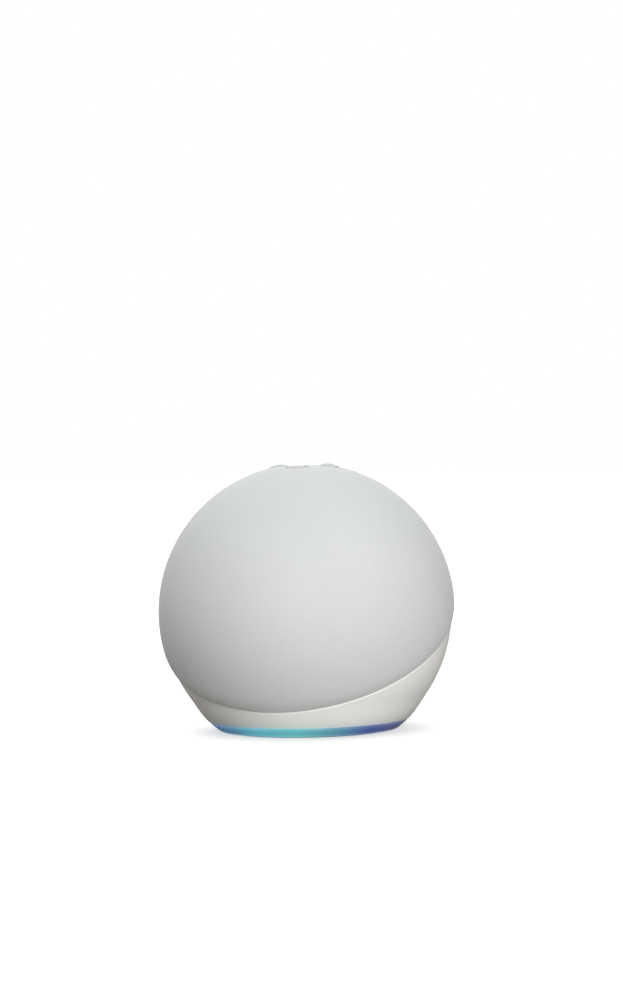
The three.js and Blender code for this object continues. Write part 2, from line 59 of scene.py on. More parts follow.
knit_low, knit_high = corners("fabric_cover")
BALL = (knit_high.x - knit_low.x) / 2
TOP_FLAT = 0.7 * MM  # how far the top is pressed in
BASE_SWELL = 0.8 * MM  # how much fuller the ball is round its foot
SWELL_START, SWELL_END = math.radians(125), math.radians(137)  # polar angles over which it swells
BALL_CENTRE = Vector((0, 0, 40 * MM))
SEAM_TILT = math.radians(31)
SEAM_OFFSET = -6.2 * MM
SEAM_GAP = 0.7 * MM
shell_low, _ = corners("rear_shell")
SHELL_BALL = 48.9 * MM
FOOT_BALL = SHELL_BALL + BASE_SWELL
SHELL_BOTTOM = shell_low.z
ring_low, ring_high = corners("light_ring")
RING_TOP = 3.2 * MM
_, foot_high = corners("foot_pad")
BUTTONS = {
    "volume_up_button": "volume_up_body",
    "mute_button": "mute_body",
    "volume_down_button": "volume_down_body",
    "action_button": "action_body",
}

# A frame whose Z is the seam's normal, at the ball's centre.
SEAM_FRAME = Matrix.Translation(BALL_CENTRE) @ Matrix.Rotation(SEAM_TILT, 4, "X")
SEAM_TURN = SEAM_FRAME.to_3x3()

WELL_RADIUS = 4.2 * MM  # the hole in the knit round a button
WELL_BOTTOM, WELL_TOP = 70 * MM, 100 * MM


def over_button(node):
    """The place on the table under the middle of a button."""
    low, high = corners(node)
    middle = (low + high) / 2
    return Matrix.Translation(Vector((middle.x, middle.y, 0)))


# ---------- mesh helpers ----------
def piece_from(name, verts, faces):
    mesh = bpy.data.meshes.new(name)
    mesh.from_pydata([tuple(v) for v in verts], [], faces)
    mesh.validate()
    obj = bpy.data.objects.new(name, mesh)
    bpy.context.scene.collection.objects.link(obj)
    return obj


def tidy_mesh(obj):
    """Welds doubles and points every face outwards."""
    work = bmesh.new()
    work.from_mesh(obj.data)
    bmesh.ops.remove_doubles(work, verts=work.verts, dist=1e-7)
    bmesh.ops.dissolve_degenerate(work, edges=work.edges, dist=1e-8)
    bmesh.ops.recalc_face_normals(work, faces=work.faces)
    work.to_mesh(obj.data)
    work.free()


def smooth(obj, degrees=32):
    bpy.context.view_layer.objects.active = obj
    obj.select_set(True)
    with bpy.context.temp_override(active_object=obj, selected_editable_objects=[obj],
                                   selected_objects=[obj], object=obj):
        bpy.ops.object.shade_smooth_by_angle(angle=math.radians(degrees))
    obj.select_set(False)


def grid_solid(name, columns, rings):
    """A closed tube of rings, each a function of the column's turn, wrapped in both ways."""
    verts = []
    for ring in rings:
        verts.extend(ring(2 * math.pi * k / columns) for k in range(columns))
    count = len(rings)
    faces = []
    for i in range(count):
        j = (i + 1) % count
        for k in range(columns):
            n = (k + 1) % columns
            faces.append((i * columns + k, i * columns + n, j * columns + n, j * columns + k))
    obj = piece_from(name, verts, faces)
    tidy_mesh(obj)
    return obj


def turned(name, profile, columns=160, place=Matrix.Identity(4)):
    """A closed profile of (radius, height) turned about Z; points on the axis become one."""
    rings = []
    for radius, height in profile:
        rings.append(lambda turn, r=radius, h=height: place @ Vector(
            (r * math.cos(turn), r * math.sin(turn), h)))
    return grid_solid(name, columns, rings)


def arc(cx, cy, rx, ry, start, end, steps):
    """Points on an ellipse's arc, angles in degrees."""
    out = []
    for i in range(steps + 1):
        turn = math.radians(start + (end - start) * i / steps)
        out.append((cx + rx * math.cos(turn), cy + ry * math.sin(turn)))
    return out


def carve(obj, cutter):
    """Cuts cutter's solid from obj, and removes the cutter."""
    mod = obj.modifiers.new("carve", "BOOLEAN")
    mod.operation = "DIFFERENCE"
    mod.solver = "EXACT"
    mod.object = cutter
    apply_modifiers(obj)
    mesh = cutter.data
    bpy.data.objects.remove(cutter)
    bpy.data.meshes.remove(mesh)


def apply_modifiers(obj):
    graph = bpy.context.evaluated_depsgraph_get()
    done = bpy.data.meshes.new_from_object(obj.evaluated_get(graph))
    old = obj.data
    obj.modifiers.clear()
    obj.data = done
    name = old.name
    bpy.data.meshes.remove(old)
    done.name = name


# ---------- material helpers ----------
class Paint:
    """A node material, with short calls for the nodes used here."""

    def __init__(self, name, rough=0.5, metal=0.0, color=(0.8, 0.8, 0.8), specular=0.5):
        self.mat = bpy.data.materials.new(name)
        self.mat.use_nodes = True
        self.tree = self.mat.node_tree
        self.shader = self.tree.nodes["Principled BSDF"]
        self.shader.inputs["Base Color"].default_value = (*color, 1)
        self.shader.inputs["Roughness"].default_value = rough
        self.shader.inputs["Metallic"].default_value = metal
        self.shader.inputs["Specular IOR Level"].default_value = specular
        coords = self.add("ShaderNodeTexCoord")
        self.place = coords.outputs["Object"]

    def add(self, kind, **values):
        node = self.tree.nodes.new(kind)
        for key, value in values.items():
            setattr(node, key, value)
        return node

    def link(self, source, target):
        self.tree.links.new(source, target)

    def noise(self, scale, detail=3.0, rough=0.5, stretch=None):
        node = self.add("ShaderNodeTexNoise")
        node.inputs["Scale"].default_value = scale
        node.inputs["Detail"].default_value = detail
        node.inputs["Roughness"].default_value = rough
        source = self.place
        if stretch:
            mapping = self.add("ShaderNodeMapping")
            mapping.inputs["Scale"].default_value = stretch
            self.link(source, mapping.inputs["Vector"])
            source = mapping.outputs["Vector"]
        self.link(source, node.inputs["Vector"])
        return node.outputs["Fac"]

    def ramp(self, fac, *stops):
        """stops are (position, (r, g, b))."""
        node = self.add("ShaderNodeValToRGB")
        ends = node.color_ramp.elements
        ends[0].position, ends[0].color = stops[0][0], (*stops[0][1], 1)
        ends[1].position, ends[1].color = stops[-1][0], (*stops[-1][1], 1)
        for position, color in stops[1:-1]:
            ends.new(position).color = (*color, 1)
        self.link(fac, node.inputs["Fac"])
        return node.outputs["Color"]

    def math(self, operation, a, b=None, c=None):
        node = self.add("ShaderNodeMath", operation=operation)
        for slot, value in zip(node.inputs, (a, b, c)):
            if value is None:
                continue
            if isinstance(value, (int, float)):
                slot.default_value = value
            else:
                self.link(value, slot)
        return node.outputs["Value"]

    def mapped(self, fac, low, high, start=0.0, stop=1.0):
        node = self.add("ShaderNodeMapRange")
        for key, value in (("From Min", start), ("From Max", stop), ("To Min", low), ("To Max", high)):
            node.inputs[key].default_value = value
        self.link(fac, node.inputs["Value"])
        return node.outputs["Result"]

    def bump(self, height, strength, distance, normal=None):
        node = self.add("ShaderNodeBump")
        node.inputs["Strength"].default_value = strength
        node.inputs["Distance"].default_value = distance
        self.link(height, node.inputs["Height"])
        if normal:
            self.link(normal, node.inputs["Normal"])
        return node.outputs["Normal"]

    def set(self, name, source):
        if isinstance(source, (int, float, tuple)):
            self.shader.inputs[name].default_value = source
        else:
            self.link(source, self.shader.inputs[name])


def moulded_paint(name, color, rough=0.5, grain=1.0, vary=0.04, scale=9000, specular=0.5):
    """Moulded plastic: a fine eroded grain, faint cloudiness and uneven gloss."""
    paint = Paint(name, rough, color=color, specular=specular)
    cloud = paint.noise(45, 4, 0.6)
    dark = tuple(c * (1 - vary) for c in color)
    light = tuple(min(1, c * (1 + vary)) for c in color)
    paint.set("Base Color", paint.ramp(cloud, (0.3, dark), (0.7, light)))
    grit = paint.noise(scale, 2, 0.6)
    paint.set("Roughness", paint.mapped(paint.noise(300, 3), rough - 0.05, rough + 0.06))
    paint.set("Normal", paint.bump(grit, 0.25 * grain, 0.00004))
    return paint


def moulded(*look):
    return moulded_paint(*look).mat


def brushed(name, color, rough=0.35, stretch=(1, 1, 60)):
    """Metal with fine lines along one way and a few faint stains."""
    paint = Paint(name, rough, metal=1.0, color=color)
    lines = paint.noise(900, 3, 0.6, stretch=stretch)
    stain = paint.noise(60, 4, 0.6)
    dark = tuple(c * 0.82 for c in color)
    paint.set("Base Color", paint.ramp(stain, (0.3, dark), (0.65, color)))
    paint.set("Roughness", paint.mapped(lines, rough - 0.1, rough + 0.15))
    paint.set("Normal", paint.bump(lines, 0.2, 0.00003))
    return paint.mat


# ---------- materials ----------
KNIT_COLOUR = (0.576, 0.593, 0.601)
STITCH = 1.3 * MM


def knit_material():
    """Fine knit, laid flat over the dome from the middle of its front: stitches, fuzz, soft slubs."""
    paint = Paint("knit_fabric", 0.92, color=KNIT_COLOUR, specular=0.25)
    centred = paint.add("ShaderNodeVectorMath", operation="SUBTRACT")
    centred.inputs[1].default_value = BALL_CENTRE
    paint.link(paint.place, centred.inputs[0])
    lean = paint.add("ShaderNodeMapping")
    lean.inputs["Rotation"].default_value = (-SEAM_TILT, 0, 0)
    paint.link(centred.outputs["Vector"], lean.inputs["Vector"])
    unit = paint.add("ShaderNodeVectorMath", operation="NORMALIZE")
    paint.link(lean.outputs["Vector"], unit.inputs[0])
    split = paint.add("ShaderNodeSeparateXYZ")
    paint.link(unit.outputs["Vector"], split.inputs["Vector"])
    x, y, z = split.outputs
    angle = paint.math("ARCCOSINE", z)
    spread = paint.math("DIVIDE", angle, paint.math("MAXIMUM", paint.math("SINE", angle), 0.001))
    wander = paint.math("MULTIPLY", paint.noise(160, 2), 1.6)
    turns = 2 * math.pi * BALL / STITCH
    u = paint.math("MULTIPLY", paint.math("MULTIPLY", x, spread), turns)
    v = paint.math("MULTIPLY", paint.math("MULTIPLY", y, spread), turns)
    one = paint.math("SINE", paint.math("ADD", paint.math("ADD", u, v), wander))
    two = paint.math("SINE", paint.math("ADD", paint.math("SUBTRACT", u, v), wander))
    loops = paint.mapped(paint.math("ADD", one, two), 0, 1, -2, 2)
    fuzz = paint.noise(5200, 3, 0.65)
    slub = paint.noise(420, 4, 0.6)
    body = paint.noise(34, 3, 0.5)
    tone = paint.math("ADD", paint.math("MULTIPLY", loops, 0.3), paint.math("MULTIPLY", fuzz, 0.3))
    tone = paint.math("ADD", tone, paint.math("MULTIPLY", slub, 0.2))
    tone = paint.math("ADD", tone, paint.math("MULTIPLY", body, 0.2))
    shade = [tuple(c * level for c in KNIT_COLOUR) for level in (0.935, 1.0, 1.05)]
    paint.set("Base Color", paint.ramp(tone, (0.28, shade[0]), (0.5, shade[1]), (0.72, shade[2])))
    paint.set("Roughness", paint.mapped(slub, 0.86, 0.98))
    normal = paint.bump(loops, 0.3, 0.0001)
    paint.set("Normal", paint.bump(fuzz, 0.3, 0.00008, normal))
    paint.set("Sheen Weight", 0.15)
    paint.set("Sheen Roughness", 0.55)
    paint.set("Sheen Tint", (0.95, 0.97, 1.0, 1))
    return paint.mat


RING_COLOURS = (
    # share of a full turn, from -X (0) by the front (0.25) to +X (0.5), and the light there
    (0.00, (0.050, 0.075, 0.160)),
    (0.08, (0.045, 0.090, 0.200)),
    (0.15, (0.048, 0.150, 0.270)),
    (0.21, (0.075, 0.315, 0.390)),
    (0.28, (0.085, 0.345, 0.370)),
    (0.34, (0.065, 0.205, 0.275)),
    (0.40, (0.036, 0.062, 0.225)),
    (0.46, (0.050, 0.056, 0.170)),
    (0.52, (0.032, 0.038, 0.080)),
    (1.00, (0.050, 0.075, 0.160)),
)


def ring_place(paint):
    """Where a point lies round the ring (0 at -X, 0.25 at the front, 0.5 at +X), and its height."""
    split = paint.add("ShaderNodeSeparateXYZ")
    paint.link(paint.place, split.inputs["Vector"])
    x, y, z = split.outputs
    turn = paint.math("ARCTAN2", paint.math("MULTIPLY", y, -1), paint.math("MULTIPLY", x, -1))
    share = paint.math("DIVIDE", turn, 2 * math.pi)
    return paint.math("WRAP", share, 1.0, 0.0), z


def glow_material():
    """Milky plastic lit from inside: the colour runs round the ring, with a painted halo that makes it paler
    near its two edges, most at the bottom.
    """
    paint = Paint("lit_diffuser", 0.28, color=(0.25, 0.45, 0.55))
    share, z = ring_place(paint)
    light = paint.ramp(share, *RING_COLOURS)
    height = paint.mapped(z, 0.0, 1.0, ring_low.z, RING_TOP)
    cloud = paint.noise(260, 3, 0.5)
    # painted halo: the emission is mixed towards a paler colour near the ring's top and bottom edges,
    # strongest at the bottom
    painted_halo = paint.ramp(height, (0.0, (0.75, 0.75, 0.75)), (0.30, (0.0, 0.0, 0.0)), (0.50, (0.0, 0.0, 0.0)),
                      (1.0, (0.35, 0.35, 0.35)))
    halo_colour = paint.add("ShaderNodeVectorMath", operation="ADD")
    paint.link(light, halo_colour.inputs[0])
    halo_colour.inputs[1].default_value = (0.15, 0.20, 0.20)
    mixed = paint.add("ShaderNodeMix", data_type="RGBA", blend_type="MIX")
    paint.link(painted_halo, mixed.inputs["Factor"])
    paint.link(light, mixed.inputs[6])
    paint.link(halo_colour.outputs["Vector"], mixed.inputs[7])
    paint.link(mixed.outputs[2], paint.shader.inputs["Emission Color"])
    paint.set("Emission Strength", paint.mapped(cloud, 0.95, 1.05))
    paint.set("Base Color", paint.ramp(share, *[(p, tuple(0.5 * c for c in col)) for p, col in RING_COLOURS]))
    paint.set("Coat Weight", 0.3)
    paint.set("Coat Roughness", 0.15)
    paint.set("Normal", paint.bump(paint.noise(2500, 2), 0.1, 0.00003))
    return paint.mat


def shell_material():
    """Satin moulded plastic; the ring's light on its lowest edge is a painted glow, emission in the ring's
    colours.
    """
    paint = moulded_paint("shell_plastic", (0.885, 0.88, 0.857), 0.42, 0.6, 0.015)
    share, z = ring_place(paint)
    # painted glow: the shell's lowest few millimetres emit in the ring's colours, as if lit by the ring
    painted_ring_glow = paint.ramp(paint.mapped(z, 0.0, 1.0, SHELL_BOTTOM, 7 * MM),
                      (0.0, (1.0, 1.0, 1.0)), (0.25, (0.35, 0.35, 0.35)), (1.0, (0.0, 0.0, 0.0)))
    paint.set("Emission Color", paint.ramp(share, *RING_COLOURS))
    paint.set("Emission Strength", paint.math("MULTIPLY", painted_ring_glow, 0.45))
    return paint.mat


def rubber_material(name, color, rough=0.8):
    paint = Paint(name, rough, color=color, specular=0.35)
    dust = paint.noise(220, 5, 0.7)
    light = tuple(min(1, c * 1.35 + 0.01) for c in color)
    paint.set("Base Color", paint.ramp(dust, (0.35, color), (0.75, light)))
    paint.set("Roughness", paint.mapped(paint.noise(500, 3), rough - 0.08, rough + 0.08))
    paint.set("Normal", paint.bump(paint.noise(6500, 3, 0.7), 0.4, 0.00006))
    return paint.mat


def board_material():
    """Green solder mask with copper traces showing through as fine blocks."""
    paint = Paint("circuit_board", 0.35, color=(0.02, 0.10, 0.05))
    cells = paint.add("ShaderNodeTexVoronoi", feature="DISTANCE_TO_EDGE", distance="EUCLIDEAN")
    cells.inputs["Scale"].default_value = 420
    paint.link(paint.place, cells.inputs["Vector"])
    traces = paint.mapped(cells.outputs["Distance"], 0, 1, 0.03, 0.06)
    paint.set("Base Color", paint.ramp(traces, (0.0, (0.03, 0.16, 0.07)), (1.0, (0.012, 0.07, 0.035))))
    paint.set("Roughness", paint.mapped(paint.noise(500), 0.28, 0.42))
    paint.set("Normal", paint.bump(traces, 0.3, 0.00003))
    paint.set("Coat Weight", 0.3)
    paint.set("Coat Roughness", 0.2)
    return paint.mat


def paper_material():
    """Pressed paper pulp: short dark fibres."""
    paint = Paint("cone_paper", 0.9, color=(0.03, 0.03, 0.034), specular=0.3)
    fibres = paint.noise(1500, 6, 0.8, stretch=(1, 3, 1))
    paint.set("Base Color", paint.ramp(fibres, (0.3, (0.018, 0.018, 0.02)), (0.7, (0.06, 0.06, 0.065))))
    paint.set("Roughness", paint.mapped(fibres, 0.82, 0.96))
    paint.set("Normal", paint.bump(fibres, 0.5, 0.0001))
    return paint.mat


def winding_material():
    """Enamelled copper wire, wound tight round the driver's axis."""
    paint = Paint("copper_winding", 0.3, metal=1.0, color=(0.72, 0.34, 0.18))
    wave = paint.add("ShaderNodeTexWave", bands_direction="Y")
    wave.inputs["Scale"].default_value = 1400
    paint.link(paint.place, wave.inputs["Vector"])
    dark, light = (0.35, 0.13, 0.06), (0.72, 0.34, 0.18)
    paint.set("Base Color", paint.ramp(wave.outputs["Fac"], (0.0, dark), (0.6, light)))
    paint.set("Normal", paint.bump(wave.outputs["Fac"], 0.5, 0.00008))
    return paint.mat


def film_material():
    """Amber flexible film with fine conductors along it."""
    paint = Paint("amber_film", 0.3, color=(0.45, 0.22, 0.05))
    wave = paint.add("ShaderNodeTexWave", bands_direction="X")
    wave.inputs["Scale"].default_value = 520
    paint.link(paint.place, wave.inputs["Vector"])
    dark, light = (0.30, 0.14, 0.03), (0.58, 0.30, 0.08)
    paint.set("Base Color", paint.ramp(wave.outputs["Fac"], (0.25, dark), (0.75, light)))
    paint.set("Roughness", paint.mapped(paint.noise(200), 0.25, 0.4))
    paint.set("Coat Weight", 0.4)
    paint.set("Coat Roughness", 0.1)
    return paint.mat


def led_material():
    paint = Paint("led_package", 0.35, color=(0.9, 0.88, 0.78))
    spot = paint.noise(700, 2)
    paint.set("Base Color", paint.ramp(spot, (0.35, (0.86, 0.84, 0.74)), (0.7, (0.94, 0.92, 0.82))))
    paint.set("Roughness", paint.mapped(spot, 0.3, 0.45))
    paint.set("Coat Weight", 0.5)
    return paint.mat


MATERIALS = {
    "knit": knit_material(),
    "shell_plastic": shell_material(),
    "button_plastic": moulded("button_plastic", (0.50, 0.505, 0.515), 0.6, 0.8, 0.02, 9000, 0.3),
    "inner_plastic": moulded("inner_plastic", (0.035, 0.036, 0.04), 0.55, 1.5, 0.12, 5000),
    "diffuser": glow_material(),
    "foot_rubber": rubber_material("foot_rubber", (0.20, 0.20, 0.205), 0.82),
    "soft_black": rubber_material("soft_black", (0.018, 0.018, 0.02), 0.7),
    "circuit_board": board_material(),
    "steel": brushed("bright_steel", (0.62, 0.62, 0.64), 0.32),
    "aluminium": brushed("satin_aluminium", (0.76, 0.77, 0.78), 0.4, (40, 1, 1)),
    "ferrite": moulded("ferrite", (0.05, 0.05, 0.055), 0.7, 2.5, 0.2, 2500),
    "cone_paper": paper_material(),
    "copper": winding_material(),
    "led_package": led_material(),
    "polyimide": film_material(),
}
NODE_SLOTS = {row["node"]: row["material_slot"] for row in frame["record"]["subparts"]}


def finish_piece(obj, body, slot, material=None, degrees=32):
    """Smooths, paints and rides."""
    smooth(obj, degrees)
    obj.data.materials.clear()
    obj.data.materials.append(material or MATERIALS[slot])
    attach(obj, body)
    return obj


# ---------- knit dome ----------
def ball_radius(direction, radius):
    """The ball's radius in a direction: its top pressed nearly flat, its foot a little fuller."""
    polar = math.acos(max(-1, min(1, direction.z)))
    share = min(polar / math.radians(20), 1)
    swell = max(0, min(1, (polar - SWELL_START) / (SWELL_END - SWELL_START)))
    return radius - TOP_FLAT * (1 - share * share) ** 2 + BASE_SWELL * swell * swell * (3 - 2 * swell)


def dome_point(turn, along, depth):
    """A point at a distance above the seam's plane and a depth under the skin."""
    plain = BALL - depth
    height = max(-1, min(1, along / plain))
    ring = math.sqrt(max(0, 1 - height * height))
    direction = SEAM_TURN @ Vector((ring * math.cos(turn), ring * math.sin(turn), height))
    direction.normalize()
    return BALL_CENTRE + direction * ball_radius(direction, plain)


def dome_piece():
    """The knit as a thin shell: its skin draws in towards the seam and ends in a rolled hem."""
    edge = SEAM_OFFSET + 0.1 * MM  # the hem turns over the hard shell's edge, into the groove
    thick, hem_depth = 0.8 * MM, 1.1 * MM
    hem = 0.35 * MM  # the hem's radius
    roll, deeper = 0.5 * MM, 0.55 * MM  # how far the skin and its inside draw in at the edge
    reach = 5 * MM
    tuck_power = 2.4
    outer = []
    steps = 96
    start = math.asin((edge + hem) / BALL)
    for i in range(steps + 1):
        share = i / steps
        lat = start + (math.pi / 2 - start) * (share ** 1.15)
        above = BALL * math.sin(lat) - edge
        tuck = max(0.0, 1 - above / reach)
        outer.append((BALL * math.sin(lat), roll * tuck ** tuck_power))
    outer[-1] = (BALL, 0.0)
    lip = []
    base_depth = outer[0][1]
    for i in range(1, 6):
        turn = math.radians(90 * i / 5)
        lip.append((edge + hem * (1 - math.sin(turn)), base_depth + hem * (1 - math.cos(turn))))
    inner = []
    for i in range(25):
        share = i / 24
        lat = math.asin(edge / (BALL - hem_depth)) * (1 - share) + (math.pi / 2) * share
        above = (BALL - thick) * math.sin(lat) - edge
        tuck = max(0.0, 1 - above / reach)
        inside = BALL - (hem_depth if i == 0 else thick)
        inner.append((inside * math.sin(lat), thick + (roll + deeper) * tuck ** tuck_power))
    columns = 256
    profile = list(reversed(outer)) + lip + inner
    verts = []
    faces = []
    for along, depth in profile:
        for k in range(columns):
            verts.append(dome_point(2 * math.pi * k / columns, along, depth))
    for i in range(len(profile) - 1):
        for k in range(columns):
            n = (k + 1) % columns
            faces.append((i * columns + k, i * columns + n, (i + 1) * columns + n, (i + 1) * columns + k))
    obj = piece_from("knit_dome", verts, faces)
    tidy_mesh(obj)
    return obj


def well_cutter(node):
    """A round cutter over a button, through the knit and out at its top."""
    profile = [(0.0, WELL_BOTTOM), (WELL_RADIUS, WELL_BOTTOM), (WELL_RADIUS, WELL_TOP), (0.0, WELL_TOP)]
    return turned("well", profile, 64, over_button(node))


knit_dome = dome_piece()
for node in BUTTONS:
    carve(knit_dome, well_cutter(node))
tidy_mesh(knit_dome)
finish_piece(knit_dome, "housing", "knit", degrees=40)
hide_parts("fabric_cover")


# ---------- rear shell ----------
def shell_direction_low(turn):
    """A direction on the shell's lower edge."""
    height = SHELL_BOTTOM - BALL_CENTRE.z
    ring = math.sqrt(FOOT_BALL ** 2 - height ** 2)
    return Vector((ring * math.cos(turn), ring * math.sin(turn), height)) / FOOT_BALL


def shell_direction_high(turn, along):
    """A direction on the shell at a distance along the seam's normal."""
    height = along / SHELL_BALL
    ring = math.sqrt(1 - height * height)
    return SEAM_TURN @ Vector((ring * math.cos(turn), ring * math.sin(turn), height))


def shell_point(turn, share, radius, along):
    """A point on the way from the shell's lower edge (0) to its seam edge (1)."""
    low = shell_direction_low(turn)
    high = shell_direction_high(turn, along)
    angle = low.angle(high)
    a = math.sin((1 - share) * angle) / math.sin(angle)
    b = math.sin(share * angle) / math.sin(angle)
    direction = a * low + b * high
    return BALL_CENTRE + direction * ball_radius(direction, radius)


def lip_point(turn, along, depth):
    """A point by the seam, at a distance along its normal and a depth under the skin."""
    radius = SHELL_BALL - depth
    height = along / radius
    ring = math.sqrt(1 - height * height)
    direction = SEAM_TURN @ Vector((ring * math.cos(turn), ring * math.sin(turn), height))
    return BALL_CENTRE + direction * ball_radius(direction, radius)


def low_point(turn, height, depth):
    """A point by the lower edge, at a height over the edge's plane and a depth under the skin."""
    radius = FOOT_BALL - depth
    z = SHELL_BOTTOM + height - BALL_CENTRE.z
    ring = math.sqrt(radius ** 2 - z ** 2)
    return BALL_CENTRE + Vector((ring * math.cos(turn), ring * math.sin(turn), z))


def shell_piece():
    """The rear shell as a skin 2 mm thick: rounded lip at the seam, softened lower edge."""
    edge = SEAM_OFFSET - SEAM_GAP / 2
    round_along, round_deep = 0.9 * MM, 0.7 * MM
    thick = 2.0 * MM
    steps = 56
    rings = []
    soft = 0.25 * MM
    first = 0.012  # share of the way up at which the skin leaves the softened edge
    # outside, from the lower edge up to where the lip starts to round
    for i in range(steps + 1):
        share = first + (1 - first) * i / steps
        rings.append(lambda t, s=share: shell_point(t, s, SHELL_BALL, edge - round_along))
    for i in range(1, 11):
        turn = math.radians(9 * i)
        along = edge - round_along * (1 - math.sin(turn))
        depth = round_deep * (1 - math.cos(turn))
        rings.append(lambda t, a=along, d=depth: lip_point(t, a, d))
    rings.append(lambda t: lip_point(t, edge, thick))
    # inside, back down
    for i in range(13):
        share = 1 - i / 12
        rings.append(lambda t, s=share: shell_point(t, s, SHELL_BALL - thick, edge - 2 * MM))
    rings.append(lambda t: low_point(t, 0, thick - 0.6 * MM))
    rings.append(lambda t: low_point(t, 0, soft))
    rings.append(lambda t: low_point(t, 0.3 * soft, 0.3 * soft))
    return grid_solid("rear_shell_skin", 288, rings)


rear_skin = shell_piece()
bezel_low, bezel_high = corners("port_bezel")
PORT_CENTRE = (bezel_low + bezel_high) / 2
PORT_GAP = 0.15 * MM
PORT_HALF = (bezel_high.x - bezel_low.x) / 2
PORT_CORNER = 1.5 * MM
PORT_OPENING, OPENING_CORNER = 4.3 * MM, 0.8 * MM


def inlet_point(turn, half, corner, along):
    """A point on a square with round corners about the inlet's axis, at a distance along Y."""
    x, z = math.cos(turn), math.sin(turn)
    wide, narrow = max(abs(x), abs(z)), min(abs(x), abs(z))
    flat = half - corner
    reach = half / wide
    if reach * narrow > flat:
        middle = flat * (wide + narrow)
        reach = middle + math.sqrt(middle ** 2 - 2 * flat ** 2 + corner ** 2)
    return Vector((x * reach, along, PORT_CENTRE.z + z * reach))


def on_shell(point, depth):
    """The point slid along Y to a depth below the shell's outside."""
    level = point - BALL_CENTRE
    across = level.x ** 2 + level.z ** 2
    return Vector((point.x, math.sqrt((SHELL_BALL - depth) ** 2 - across), point.z))


def port_cutter():
    """The hole in the shell that the inlet's bezel fills, with a fine gap round it."""
    size = (PORT_HALF + PORT_GAP, PORT_CORNER + PORT_GAP)
    inside, outside = 39 * MM, 60 * MM
    ends = [lambda t, y=y: inlet_point(t, *size, y) for y in (inside, outside)]
    caps = [lambda t, y=y: Vector((0, y, PORT_CENTRE.z)) for y in (outside, inside)]
    return grid_solid("port_hole", 160, [*ends, *caps])


carve(rear_skin, port_cutter())
tidy_mesh(rear_skin)
finish_piece(rear_skin, "housing", "shell_plastic", degrees=40)
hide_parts("rear_shell")


# ---------- light ring ----------
def ring_piece():
    """The diffuser: its outside goes on with the ball's curve, and a tongue rises inside the shell."""
    bottom, top = ring_low.z, RING_TOP
    inner = 28.4 * MM
    tongue = 32.2 * MM

    def outside(share):
        height = bottom + (top - bottom) * share
        return math.sqrt(FOOT_BALL ** 2 - (BALL_CENTRE.z - height) ** 2), height

    profile = [(inner, bottom + 0.2 * MM), (inner + 0.2 * MM, bottom)]
    r0, _ = outside(0)
    profile += arc(r0 - 0.35 * MM, bottom + 0.4 * MM, 0.4 * MM, 0.4 * MM, -90, -45, 6)
    profile += [outside(0.14 + 0.78 * i / 14) for i in range(15)]
    r1, h1 = outside(1)
    profile += [(r1 - 0.12 * MM, h1 - 0.04 * MM), (r1 - 0.4 * MM, h1)]
    profile += [(tongue, top), (tongue, ring_high.z), (inner, ring_high.z)]
    return turned("glow_ring", profile, 256)


glow_ring = ring_piece()
finish_piece(glow_ring, "housing", "diffuser", degrees=50)
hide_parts("light_ring")


# ---------- foot ----------
def foot_piece():
    """A rubber pad, hollow in the middle, with six fine grooves round its sole."""
    radius = foot_high.x
    profile = [(0, 0.4 * MM), (19.6 * MM, 0.4 * MM), (20.0 * MM, 0.34 * MM), (20.3 * MM, 0.1 * MM),
               (20.6 * MM, 0.0)]
    for k in range(6):
        groove = (21.6 + 0.95 * k) * MM
        profile += [(groove, 0.0), (groove + 0.12 * MM, 0.14 * MM), (groove + 0.3 * MM, 0.14 * MM),
                    (groove + 0.42 * MM, 0.0)]
    profile += arc(radius - 0.5 * MM, 0.5 * MM, 0.5 * MM, 0.5 * MM, -90, 0, 6)
    profile += [(radius, 1.1 * MM), (radius - 0.1 * MM, 1.2 * MM), (0, 1.2 * MM)]
    return turned("foot_ring", profile, 192)


foot_ring = foot_piece()
finish_piece(foot_ring, "housing", "foot_rubber", degrees=30)
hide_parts("foot_pad")


# ---------- buttons ----------
def button_piece(node, body):
    """A cap with a low dome, a flange that holds it under the knit and a stem to its switch."""
    low, high = corners(node)
    radius, stem = 3.9 * MM, 1.6 * MM
    flange, flange_low, flange_high = radius + 0.7 * MM, 83.1 * MM, 84 * MM
    top = high.z
    shoulder, soft = top - 1.4 * MM, 0.5 * MM
    profile = [(0, low.z), (stem - 0.1 * MM, low.z), (stem, low.z + 0.1 * MM), (stem, flange_low),
               (flange, flange_low), (flange, flange_high), (radius, flange_high), (radius, shoulder)]
    profile += arc(radius - soft, shoulder, soft, 0.45 * MM, 0, 58, 7)[1:]
    rim = profile[-1]
    for i in range(1, 13):
        share = i / 12
        profile.append((rim[0] * (1 - share), rim[1] + (top - rim[1]) * (1 - (1 - share) ** 2)))
    obj = turned(node.replace("button", "cap"), profile, 96, over_button(node))
    finish_piece(obj, body, "button_plastic", degrees=35)
    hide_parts(node)


for node, body in BUTTONS.items():
    button_piece(node, body)


